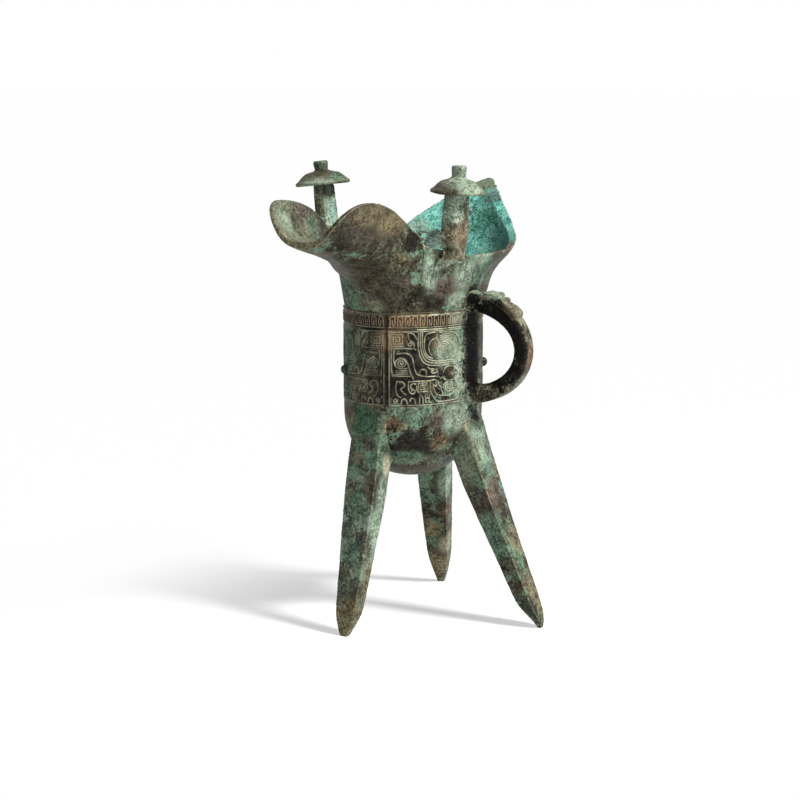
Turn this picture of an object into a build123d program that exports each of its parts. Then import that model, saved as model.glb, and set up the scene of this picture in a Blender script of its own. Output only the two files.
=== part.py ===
"""Bronze jue: an oval wine cup with spout and tail, a loop handle, two capped posts and three blade legs.

Millimetres, +Z up, legs on Z 0, spout to -X, tail to +X, handle to -Y. The pieces are drawn round the cup's
own axis and then moved together, so that the origin is under the middle of the whole vessel.
"""
import math
import os

from build123d import *

os.makedirs("parts", exist_ok=True)

# Cup
cup_half_length = 37.0
cup_half_width = 29.3
cup_bottom = 64.0
cup_bend = 95.0
neck_start = 141.0
neck_step = 0.4
wall = 2.4
eye_height = 114.0
eye_radius = 2.2
eye_turns = (-116, 140, -52, 52)

# Mouth
rim_low = 165.3
mouth_half_width = 35.5
spout_reach = 97.0
spout_lip = 173.6
spout_curve = 2.2
spout_root_width = 23.6
spout_bulge = 9.5
crest_back = 17.0
crest_height = 192.0
tail_reach = 77.0
tail_tip = 194.3
tail_blunt = 1.2
tail_curve = 1.4
tail_root_reach = 34.0

# Legs
leg_join = 88.0
leg_top = 94.0
leg_root_width = 17.8
leg_tip_width = 6.0
leg_root_depth = 12.6
leg_tip_depth = 4.4
leg_inner_share = 0.88
handle_foot = (-0.2, -66.5)
spout_foot = (-56.2, 5.5)
tail_foot = (59.1, 15.8)

# Handle and ox head
handle_middle = 123.5
handle_rise = 24.6
handle_reach = 57.3
handle_width = 7.6
strap_thick = 5.4
strap_rise = 8.0
handle_edge = 1.2
head_width = 8.6
head_rise = 1.9
head_seat = 0.6
head_edge = 0.8
horn_ring = 2.4
horn_thick = 1.1
head_eye = 1.5

# Posts and caps
post_reach = 21.0
post_foot = 31.4
post_width = 12.0
post_depth = 7.2
post_round = 2.6
post_taper = 1.6
post_grip = 2.8
handle_post_lean = 3.0
far_post_lean = 6.5
cap_seat = 193.0
peg_radius = 2.3
peg_length = 3.6
cap_radius = 12.2
cap_brim = 1.8
cap_dome = 7.2
knob_radius = 3.4
knob_length = 4.8

# Core spacers
spacer_size = 5.0
spacer_x = 9.5
spacer_y = 6.5


def mouth_side(height):
    """Half width of the mouth at one height: upright at the neck, flaring to the rim, settling above it."""
    rise = (height - neck_start) / (rim_low - neck_start)
    return cup_half_width + (mouth_half_width - cup_half_width) * 2 * rise**2 / (1 + rise**2)


def spout_end(height):
    """Distance of the spout's underside from the cup axis at one height, settling above the lip."""
    rise = min(max(height, neck_start), spout_lip) - neck_start
    over = max(height - spout_lip, 0.0)
    run = (spout_reach - cup_half_length) * (rise / (spout_lip - neck_start)) ** spout_curve
    return cup_half_length + run + 20 * (1 - math.exp(-over / 5))


def tail_end(height):
    """Distance of the tail's underside from the cup axis at one height, running on past the blunt end."""
    rise = max(height - neck_start, 0.0) / (tail_tip - neck_start)
    return cup_half_length + (tail_reach + tail_blunt - cup_half_length) * rise**tail_curve


def mouth_curves(height, inset):
    """Control points of the mouth's half outline at one height: spout channel, shoulder, flank and leaf.

    The first outline is the cup's own oval. The last ones have a channel, a wide mouth and a pointed tail.
    """
    lift = 0.8 * (inset - neck_step)
    middle = mouth_side(height) - inset
    tip = spout_end(height - lift) - inset
    end = tail_end(height - lift) - inset
    rise = max(height - lift - neck_start, 0.0) / (spout_lip - neck_start)
    settle = 1 - math.exp(-2.2 * rise)
    length = cup_half_length - inset
    width = cup_half_width - inset

    # Where the spout leaves the cup
    split = math.radians(40)
    root_x = length * math.cos(split) + 1.7 * settle
    root_y = width * math.sin(split) + (spout_root_width - cup_half_width * math.sin(split)) * settle
    slope = cup_half_width / cup_half_length / math.tan(split) * math.exp(-1.55 * rise)
    swell = 0.235 * width + 6.0 * rise**3
    back = (0.45 + 0.19 * math.exp(-((rise / 0.2) ** 2))) * (tip - root_x)
    ahead = (0.1 + 0.15 * math.exp(-1.5 * rise)) * root_x
    turn_out = (0.78 - 0.39 * math.exp(-2.5 * rise**2)) * root_x

    # Where the tail leaves the cup
    diagonal = math.radians(45)
    flank_x = length * math.cos(diagonal) + (tail_root_reach - cup_half_length * math.cos(diagonal)) * settle
    flank_y = width * math.sin(diagonal) + (middle - 1.5 - width * math.sin(diagonal)) * settle
    flank = (flank_x, flank_y)
    fall = 0.2 + (cup_half_width / cup_half_length - 0.2) * math.exp(-2.5 * rise)
    reach = 0.2652 * length * math.cos(diagonal)
    stretch = reach + 7.5 * settle
    taper = 1 / (1 + math.exp(7 * (1.1 - rise)))
    nose = 0.2652 * width + 12.0 * settle * (1 - 0.8 * taper)

    return [
        [(-tip, 0), (-tip, swell), (-root_x - back, root_y - back * slope), (-root_x, root_y)],
        [(-root_x, root_y), (ahead - root_x, root_y + ahead * slope), (-turn_out, middle), (0, middle)],
        [(0, middle), (0.2652 * length, middle), (flank_x - reach, flank_y + reach * fall), flank],
        [flank, (flank_x + stretch, flank_y - stretch * fall), (end - 8 * taper, nose), (end, 0)],
    ]


def oval_point(turn, height, proud=0.0):
    """Point on or just outside the cup's outer wall, turned from the tail towards the far side."""
    angle = math.radians(turn)
    return ((cup_half_length + proud) * math.cos(angle), (cup_half_width + proud) * math.sin(angle), height)


# Cup: an oval wall over a rounded bottom of oval sections
bottom_turns = [math.radians(turn) for turn in (10, 24, 38, 52, 65, 78, 90)]

with BuildPart() as cup_solid:
    for turn in bottom_turns:
        with BuildSketch(Plane.XY.offset(cup_bend - (cup_bend - cup_bottom) * math.cos(turn))):
            Ellipse(cup_half_length * math.sin(turn), cup_half_width * math.sin(turn))
    loft()
    with BuildSketch(Plane.XY.offset(cup_bend)):
        Ellipse(cup_half_length, cup_half_width)
    extrude(amount=neck_start - cup_bend)

inner_depth = cup_bend - cup_bottom - wall
with BuildPart() as cup_hollow:
    for turn in bottom_turns:
        with BuildSketch(Plane.XY.offset(cup_bend - inner_depth * math.cos(turn))):
            Ellipse((cup_half_length - wall) * math.sin(turn), (cup_half_width - wall) * math.sin(turn))
    loft()
    with BuildSketch(Plane.XY.offset(cup_bend)):
        Ellipse(cup_half_length - wall, cup_half_width - wall)
    extrude(amount=neck_start - cup_bend)

# Mouth: level sections that grow from the oval into spout and tail, carried above the rim
crest_reach = spout_reach - crest_back
mouth_top = max(crest_height, tail_tip) + wall
mouth_levels = [neck_start + (mouth_top - neck_start) * step / 8 for step in range(9)]


def mouth_face(height, inset):
    """Half of the mouth's level section: the four curves, closed along the middle line."""
    curves = mouth_curves(height, inset)
    edges = [Bezier(*[(x, y, height) for x, y in curve]) for curve in curves]
    edges.append(Line(edges[-1] @ 1, edges[0] @ 0))
    return Face(Wire(edges))


outer_sections = [mouth_face(level, neck_step) for level in mouth_levels]
inner_sections = [mouth_face(level, neck_step + wall) for level in mouth_levels]

with BuildPart() as mouth_solid:
    loft(outer_sections)
    mirror(about=Plane.XZ)

with BuildPart() as mouth_hollow:
    loft(inner_sections)
    mirror(about=Plane.XZ)

# Everything above the saddle-shaped rim: rounded spout end, falling spout wall, low middle, rising tail
with BuildPart() as above_rim:
    with BuildSketch(Plane.XZ):
        with BuildLine():
            lip = Spline(
                (-spout_reach, spout_lip),
                (-spout_reach + 1.5, spout_lip + spout_bulge),
                (-crest_reach, crest_height),
                tangents=[(0, 1), (1, 0)],
            )
            fall = Spline(
                lip @ 1,
                (-0.75 * crest_reach, crest_height - 3.6),
                (-0.5625 * crest_reach, crest_height - 9.3),
                (-0.4375 * crest_reach, crest_height - 16.0),
                (-26, rim_low),
                tangents=[(1, 0), (1, 0)],
            )
            low = Line(fall @ 1, (26, rim_low))
            rise = Spline(
                low @ 1,
                (42, rim_low + 5.7),
                (54, rim_low + 16.0),
                (64, tail_tip - 6.3),
                (tail_reach, tail_tip),
            )
            clear = 2 * spout_reach
            Polyline(rise @ 1, (tail_reach, neck_start), (clear, neck_start), (clear, 2 * mouth_top))
            Line((clear, 2 * mouth_top), (-clear, 2 * mouth_top))
            Polyline((-clear, 2 * mouth_top), (-clear, neck_start), (-spout_reach, neck_start), lip @ 0)
        make_face()
    extrude(amount=2 * mouth_half_width, both=True)

# Core spacers: square chips as thick as the wall, set in the cup's bottom
with BuildPart() as spacer_bars:
    with BuildSketch(Plane.XY.offset(cup_bottom - wall)):
        with GridLocations(2 * spacer_x, 2 * spacer_y, 2, 2):
            Rectangle(spacer_size, spacer_size)
    extrude(amount=cup_bend - cup_bottom)

with BuildPart() as core_spacers:
    add(spacer_bars.part)
    add(cup_solid.part, mode=Mode.INTERSECT)
    add(cup_hollow.part, mode=Mode.SUBTRACT)

# Vessel body: cup, neck, spout and tail as one cast wall, with the four bosses of the masks' eyes
with BuildPart() as inside:
    add(cup_hollow.part)
    add(mouth_hollow.part)

with BuildPart() as vessel_body:
    add(mouth_solid.part)
    add(above_rim.part, mode=Mode.SUBTRACT)
    add(cup_solid.part)
    for turn in eye_turns:
        angle = math.radians(turn)
        outward = (math.cos(angle) / cup_half_length, math.sin(angle) / cup_half_width, 0)
        with Locations(Plane(oval_point(turn, eye_height, 0.2 * eye_radius), z_dir=outward)):
            Sphere(eye_radius)
    add(inside.part, mode=Mode.SUBTRACT)
    add(spacer_bars.part, mode=Mode.SUBTRACT)


def blade_leg(foot, root_turn, facing):
    """A blade of four-sided section, widest on its outer face, tapering to a flat tip."""
    root = oval_point(root_turn, leg_join)
    with BuildPart() as leg:
        for share in (0, 0.08, 0.22, 0.45, 0.72, 1):
            height = share * leg_top
            up = height / leg_join
            x = foot[0] + (root[0] - foot[0]) * up
            y = foot[1] + (root[1] - foot[1]) * up
            swell = share**0.48
            half = (leg_tip_width + (leg_root_width - leg_tip_width) * swell) / 2
            deep = leg_tip_depth + (leg_root_depth - leg_tip_depth) * swell
            angle = math.radians(facing)
            level = Plane((x, y, height), x_dir=(math.cos(angle), math.sin(angle), 0))
            with BuildSketch(level):
                with BuildLine():
                    inner = leg_inner_share * half
                    Polyline((0, -half), (0, half), (-deep, inner), (-deep, -inner), close=True)
                make_face()
        loft()
        add(cup_solid.part, mode=Mode.SUBTRACT)
    return leg.part


# Strap of the handle: a loop between two half ovals, its ends seated on the cup wall and the neck
loop_rise = handle_rise - strap_rise
with BuildPart() as strap:
    with BuildSketch(Plane.YZ):
        with BuildLine():
            centre = (-cup_half_width, handle_middle)
            outer = EllipticalCenterArc(
                centre, handle_reach - cup_half_width, handle_rise, start_angle=90, arc_size=180
            )
            inner = EllipticalCenterArc(
                centre, handle_reach - strap_thick - cup_half_width, loop_rise, start_angle=90, arc_size=180
            )
            deep = 3 * wall - cup_half_width
            over, under = handle_middle + handle_rise, handle_middle - handle_rise
            Polyline(outer @ 0, (deep, over), (deep, over - strap_rise), inner @ 0)
            Polyline(outer @ 1, (deep, under), (deep, under + strap_rise), inner @ 1)
        make_face()
    extrude(amount=handle_width / 2, both=True)
    fillet(strap.edges().filter_by(GeomType.ELLIPSE), handle_edge)
    add(cup_solid.part, mode=Mode.SUBTRACT)
    add(mouth_solid.part, mode=Mode.SUBTRACT)


def strap_point(turn, rise):
    """Point in the strap's middle plane, on or above its outer curve, turned from its outermost point."""
    angle = math.radians(turn)
    out = cup_half_width + (handle_reach - cup_half_width + rise) * math.cos(angle)
    return (-out, handle_middle + (handle_rise + rise) * math.sin(angle))


# Ox head: forehead, dip and muzzle let into the top of the strap, with two horns and two eyes
with BuildPart() as ox_head:
    with BuildSketch(Plane.YZ):
        with BuildLine():
            seat = EllipticalCenterArc(
                (-cup_half_width, handle_middle),
                handle_reach - cup_half_width - head_seat,
                handle_rise - head_seat,
                start_angle=100,
                arc_size=44,
            )
            brow = Spline(
                seat @ 0,
                strap_point(74, head_rise),
                strap_point(64, 0.9 * head_rise),
                strap_point(55, 0.55 * head_rise),
                strap_point(46, 0.9 * head_rise),
                strap_point(39, 0.8 * head_rise),
                seat @ 1,
            )
        make_face()
    extrude(amount=head_width / 2, both=True)
    fillet(ox_head.edges().filter_by(GeomType.BSPLINE), head_edge)
    crown = strap_point(70, 0.2 * head_rise)
    gaze = strap_point(58, 0.4 * head_rise)
    for hand in (-1, 1):
        with Locations((hand * head_width / 2, crown[0], crown[1])):
            Torus(horn_ring, horn_thick)
        with Locations((hand * 0.4 * head_width, gaze[0], gaze[1])):
            Sphere(head_eye)

# Handle: the strap with the head's seat cut in it
with BuildPart() as handle:
    add(strap.part)
    add(ox_head.part, mode=Mode.SUBTRACT)


def rim_post(hand, lean):
    """A flat bar that forks over the rim, rounded outside, with a peg on top; hand is -1 or 1 along Y."""
    tilt = math.radians(lean)
    upward = (0, hand * math.sin(tilt), math.cos(tilt))
    length = (cap_seat - rim_low) / math.cos(tilt)
    foot = Plane((-post_reach, hand * post_foot, rim_low), x_dir=(1, 0, 0), z_dir=upward)
    with BuildPart() as post:
        with BuildSketch(foot.offset(-post_grip)) as bar:
            Rectangle(post_width, post_depth)
            fillet(bar.vertices().group_by(Axis.Y)[0 if hand < 0 else -1], post_round)
        extrude(amount=length + post_grip, taper=post_taper)
        with BuildSketch(foot.offset(length)):
            Circle(peg_radius)
        extrude(amount=peg_length)
        add(vessel_body.part, mode=Mode.SUBTRACT)
    return post.part


def mushroom_cap(hand, lean):
    """A domed cap with a flat knob, socketed over its post's peg; hand is -1 or 1 along Y."""
    tilt = math.radians(lean)
    upward = (0, hand * math.sin(tilt), math.cos(tilt))
    length = (cap_seat - rim_low) / math.cos(tilt)
    seat = Plane((-post_reach, hand * post_foot, rim_low), x_dir=(1, 0, 0), z_dir=upward).offset(length)
    side_plane = Plane(seat.origin, x_dir=seat.x_dir, z_dir=seat.x_dir.cross(seat.z_dir))
    with BuildPart() as cap:
        with BuildSketch(side_plane):
            with BuildLine():
                top = cap_dome + knob_length
                bore = (peg_radius, peg_length)
                brim = Polyline((0, peg_length), bore, (peg_radius, 0), (cap_radius - 1, 0))
                edge = ThreePointArc(brim @ 1, (cap_radius, 0.5 * cap_brim), (cap_radius - 0.7, cap_brim))
                dome = Spline(
                    edge @ 1,
                    (0.62 * cap_radius, 0.72 * cap_dome),
                    (0.86 * knob_radius, cap_dome),
                    tangents=[(-0.7, 0.5), (-0.6, 0.8)],
                )
                shoulder = (knob_radius, top - 1)
                Polyline(dome @ 1, shoulder, (knob_radius - 0.4, top), (0, top), (0, peg_length))
            make_face()
        revolve(axis=Axis(seat.origin, seat.z_dir))
    return cap.part


# Finished pieces, moved so that the origin is under the middle of the vessel
far_reach = post_foot + (cap_seat - rim_low) * math.tan(math.radians(far_post_lean)) + cap_radius
shift = Location(((spout_reach - tail_reach) / 2, (-handle_foot[1] - far_reach) / 2, 0))
pieces = {
    "vessel_body": vessel_body.part,
    "core_spacers": core_spacers.part,
    "leg_handle_side": blade_leg(handle_foot, -90, -90),
    "leg_spout_side": blade_leg(spout_foot, 172, 172),
    "leg_tail_side": blade_leg(tail_foot, 17, 16),
    "handle": handle.part,
    "ox_head": ox_head.part,
    "post_handle_side": rim_post(-1, handle_post_lean),
    "post_far_side": rim_post(1, far_post_lean),
    "cap_handle_side": mushroom_cap(-1, handle_post_lean),
    "cap_far_side": mushroom_cap(1, far_post_lean),
}
for name, piece in pieces.items():
    piece.label = name
    export_step(piece.moved(shift), f"parts/{name}.step")
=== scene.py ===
import math

import bmesh
import bpy
import numpy as np
from mathutils import Matrix, Vector, noise
from mathutils.bvhtree import BVHTree


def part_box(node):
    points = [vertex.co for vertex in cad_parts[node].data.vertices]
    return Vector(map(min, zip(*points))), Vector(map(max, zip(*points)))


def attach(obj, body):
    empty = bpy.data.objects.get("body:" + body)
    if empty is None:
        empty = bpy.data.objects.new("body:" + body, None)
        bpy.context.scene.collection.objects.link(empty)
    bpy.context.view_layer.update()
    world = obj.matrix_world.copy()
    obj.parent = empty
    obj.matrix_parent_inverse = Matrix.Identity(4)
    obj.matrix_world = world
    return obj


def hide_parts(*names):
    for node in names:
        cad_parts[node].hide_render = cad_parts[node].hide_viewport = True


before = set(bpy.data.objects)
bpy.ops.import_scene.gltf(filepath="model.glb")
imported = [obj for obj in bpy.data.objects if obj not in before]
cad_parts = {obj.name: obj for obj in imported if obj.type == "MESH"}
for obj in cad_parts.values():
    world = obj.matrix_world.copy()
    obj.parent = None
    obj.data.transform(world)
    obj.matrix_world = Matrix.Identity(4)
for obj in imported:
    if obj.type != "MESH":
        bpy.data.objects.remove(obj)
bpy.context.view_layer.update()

# Vessel body: cup, neck, spout and tail are one bronze casting with a wall of about 2.4 mm. It came out of a
# piece mould, so its skin is slightly uneven, and long burial has pitted it and stained it in patches.

# The small chips in the cup's bottom stand round the cup's own axis
chips_low, chips_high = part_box("core_spacers")
cup_axis = (chips_low + chips_high) / 2
# Half the cup's length and width, and the heights between which the ornament lies, in millimetres
cup_long, cup_wide = 37.0, 29.3
band_foot, band_top = 100.2, 141.3
# How broad the lumps and the grain of a cast skin are, in millimetres
lump_size, grain_size = 9, 1.9


def cast_skin(node, shape, voxel, rounds, lumps, grain, most=None):
    """A cast skin for a CAD node: its copy remeshed, softened, reshaped and made slightly uneven.

    The voxel, the lumps and the grain are in millimetres, and most is the number of triangles to keep."""
    bm = bmesh.new()
    bm.from_mesh(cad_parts[node].data)
    bmesh.ops.remove_doubles(bm, verts=bm.verts, dist=1e-6)
    mesh = bpy.data.meshes.new(node + "_skin")
    bm.to_mesh(mesh)
    bm.free()
    piece = bpy.data.objects.new(node + "_skin", mesh)
    bpy.context.scene.collection.objects.link(piece)
    remesh = piece.modifiers.new("Remesh", "REMESH")
    remesh.mode = "VOXEL"
    remesh.voxel_size = voxel / 1000
    remesh.use_smooth_shade = True
    # Smoothing takes the voxel steps off, and the same amount backwards gives the edges their reach again
    for step, factor in (("Soften", 0.5), ("Restore", -0.5)):
        smooth = piece.modifiers.new(step, "SMOOTH")
        smooth.factor = factor
        smooth.iterations = rounds
    if most:
        graph = bpy.context.evaluated_depsgraph_get()
        many = sum(len(face.vertices) - 2 for face in piece.evaluated_get(graph).data.polygons)
        thin = piece.modifiers.new("Thin", "DECIMATE")
        thin.ratio = most / many
    graph = bpy.context.evaluated_depsgraph_get()
    piece.data = bpy.data.meshes.new_from_object(piece.evaluated_get(graph))
    piece.modifiers.clear()

    bm = bmesh.new()
    bm.from_mesh(piece.data)
    bm.normal_update()
    moved = []
    for vert in bm.verts:
        spot = vert.co * 1000
        push = lumps * noise.fractal(spot / lump_size, 1.0, 2.0, 3)
        push += grain * noise.fractal(spot / grain_size, 0.7, 2.1, 3)
        moved.append(vert.co + (vert.normal * push + shape(spot, vert.normal)) / 1000)
    for vert, place in zip(bm.verts, moved):
        vert.co = place
    bm.normal_update()
    # How far each spot stands out from its neighbours, for rubbed edges with a painted highlight and for
    # dirty hollows
    worn = bm.verts.layers.float.new("worn")
    for vert in bm.verts:
        links = [edge.other_vert(vert).co for edge in vert.link_edges]
        middle = sum(links, Vector()) / len(links)
        span = sum((link - vert.co).length for link in links) / len(links)
        vert[worn] = (vert.co - middle).dot(vert.normal) / span
    bm.to_mesh(piece.data)
    bm.free()
    piece.data.shade_smooth()
    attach(piece, "root")
    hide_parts(node)
    return piece


def ramp(value, start, length):
    """A straight rise from 0 at the start to 1 after the length; a negative length makes it a fall."""
    return min(max((value - start) / length, 0), 1)


def swell(value, middle, reach):
    """A smooth hump: 1 at its middle and 0 beyond its reach."""
    return max(1 - ((value - middle) / reach) ** 2, 0) ** 2


# How far the wall and the leg under the handle stand out where they run into each other, by height
root_height = (50, 68, 78, 85, 90.5, 93, 96, 99.5)
root_swell = (0, 1.0, 1.7, 2.3, 2.5, 1.4, 0.6, 0)
# That root lies beyond a line on the handle's side, so far to either side of its middle, with soft edges
root_line, root_middle, root_half, root_edge = -12, 10, 14, 6


def handle_side_root(spot, normal):
    """The outward push of a spot on the wall or on the leg under the handle."""
    if spot.y > root_line:
        return Vector()
    beside = ramp(abs(spot.x - root_middle), root_half, -root_edge)
    facing = ramp(-normal.y, 0, 0.5)
    return Vector((0, -float(np.interp(spot.z, root_height, root_swell)) * beside * facing, 0))


# The wall's outer skin steps back to a share of the cup's oval under the ornament, this far from its edges
outer_skin, seat_share, seat_margin = 0.96, 0.975, 0.6
# How far the tail's edges flare, and how far the wall under the tail stands out and draws in, in millimetres
tail_flare, tail_swell, tail_waist = 1.9, 1.7, 1.5
# How far the rim moves up or down along the vessel, between the spout's crests and the posts, and its lean
slope_along = (-46, -37, -31, -27, -24.7, -22, -19.5, -15, -12, -8)
slope_lift = (0, -1.5, -3.3, -2.5, -1.0, 3.0, 4.4, 3.7, 2.0, 0)
slope_lean = 0.17


def vessel_form(spot, normal):
    """The wall steps back under the ornament, and the tail's edges flare over a slight waist.

    The rim slopes from the spout's crests to the posts, and the wall runs into the leg under the handle."""
    x, y = spot.x - cup_axis.x * 1000, spot.y - cup_axis.y * 1000
    outward = Vector((x, y, 0))
    across = math.hypot(x / cup_long, y / cup_wide)
    inside_band = ramp(min(spot.z - band_foot - seat_margin, band_top - seat_margin - spot.z), 0, 1)
    move = Vector()
    if across > outer_skin:
        move += outward * (seat_share / across - 1) * inside_band
    flare = ramp(spot.z, 160, 12) * ramp(x, 18, 20) * ramp(abs(y), 0, 9)
    move.y += math.copysign(tail_flare * flare, y)
    waist = tail_swell * swell(spot.z, 166, 8) - tail_waist * swell(spot.z, 154, 8)
    move += outward.normalized() * waist * ramp(x, -2, 15)
    near_rim = ramp(spot.z, 157, 8) * ramp(abs(y), 6, 6)
    lift = float(np.interp(spot.x, slope_along, slope_lift)) * near_rim
    move += Vector((0, math.copysign(slope_lean * lift, y), lift))
    return move + handle_side_root(spot, normal) * ramp(spot.z, 82, 6)


class Shade:
    """A socket of a shader tree that Python expressions can use as a number."""

    def __init__(self, tree, socket=None):
        self.tree = tree
        self.socket = socket

    def make(self, kind, settings, sockets, out=0):
        """Adds any node: its type, its settings, then the values or links of its sockets."""
        node = self.tree.nodes.new("ShaderNode" + kind)
        for name, value in settings.items():
            setattr(node, name, value)
        for key, value in sockets.items():
            if isinstance(value, Shade):
                self.tree.links.new(value.socket, node.inputs[key])
            else:
                node.inputs[key].default_value = value
        return Shade(self.tree, node.outputs[out] if node.outputs else None)

    def math(self, operation, first, second):
        return self.make("Math", {"operation": operation}, {0: first, 1: second})

    def __add__(self, other):
        return self.math("ADD", self, other)

    def __radd__(self, other):
        return self.math("ADD", other, self)

    def __sub__(self, other):
        return self.math("SUBTRACT", self, other)

    def __rsub__(self, other):
        return self.math("SUBTRACT", other, self)

    def __mul__(self, other):
        return self.math("MULTIPLY", self, other)

    def __rmul__(self, other):
        return self.math("MULTIPLY", other, self)

    def step(self, low, high):
        """0 below low and 1 above high, or the other way round, with a soft step between."""
        sockets = {"Value": self, "From Min": low, "From Max": high}
        return self.make("MapRange", {"interpolation_type": "SMOOTHSTEP"}, sockets)

    def blend(self, first, second):
        """A colour between two, by this value."""
        return self.make("Mix", {"data_type": "RGBA"}, {0: self, 6: first, 7: second}, 2)


def pigment(red, green, blue):
    """A colour read as 0 to 255 on a screen, as the shader's linear light."""
    return tuple(((level / 255 + 0.055) / 1.055) ** 2.4 for level in (red, green, blue)) + (1.0,)


# Finishes that burial leaves on bronze, and a near black for painted shade: a darker and a lighter colour of
# each, and how crusty it is
finishes = {
    # A near black that is painted shade, for the handle's shadow on the wall and its shaded flank
    "painted shade": (pigment(6, 6, 5), pigment(16, 15, 13), 0.9),
    "black": (pigment(14, 13, 11), pigment(36, 33, 28), 0.1),
    "umber": (pigment(28, 25, 20), pigment(78, 71, 56), 0.2),
    "gold brown": (pigment(54, 48, 35), pigment(126, 115, 87), 0.15),
    "plum": (pigment(38, 32, 29), pigment(96, 82, 74), 0.4),
    "rust": (pigment(56, 41, 29), pigment(126, 95, 68), 0.6),
    "deep green": (pigment(22, 29, 24), pigment(66, 80, 65), 0.5),
    "green": (pigment(33, 46, 37), pigment(98, 122, 101), 0.7),
    "emerald": (pigment(20, 52, 38), pigment(58, 112, 84), 0.6),
    "turquoise": (pigment(30, 94, 86), pigment(126, 188, 172), 0.75),
    "pale green": (pigment(72, 87, 73), pigment(152, 168, 147), 0.9),
    "grey green": (pigment(58, 60, 47), pigment(122, 126, 104), 0.7),
    "bone": (pigment(104, 100, 80), pigment(172, 167, 140), 0.9),
}
# Dirt in pits and in hollows, pale specks of corrosion, and metal that handling has rubbed, lighter as a
# painted highlight
pit_dirt, hollow_dirt = pigment(46, 39, 34), pigment(34, 30, 26)
pale_speck, rubbed_metal_and_highlight = pigment(150, 148, 122), pigment(146, 134, 106)
# How strongly the dirt and the specks cover what lies under them
pit_cover, hollow_cover, speck_cover = 0.62, 0.6, 0.5
# How far a spot has to stand out to be rubbed, lighter as a painted highlight, a little and in full, or to
# lie back to hold dirt
rubbed_and_lit_little, rubbed_and_lit_full = 0.07, 0.25
hollow_little, hollow_full = -0.06, -0.25
# The roughness of bare metal, what a full crust adds to it, and how metallic the bare metal is
bare_roughness, crust_roughness, bare_metallic = 0.42, 0.36, 0.45
# Each stain is a finish, its strength, its middle and its reach, in millimetres
stains = []


def stains_near(node):
    """The stains that reach a CAD node, so that a colour runs on from one piece to the next."""
    low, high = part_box(node)
    near = []
    for stain in stains:
        middle, reach = stain[2], stain[3]
        if all(low[i] * 1000 - reach[i] < middle[i] < high[i] * 1000 + reach[i] for i in range(3)):
            near.append(stain)
    return near


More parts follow.
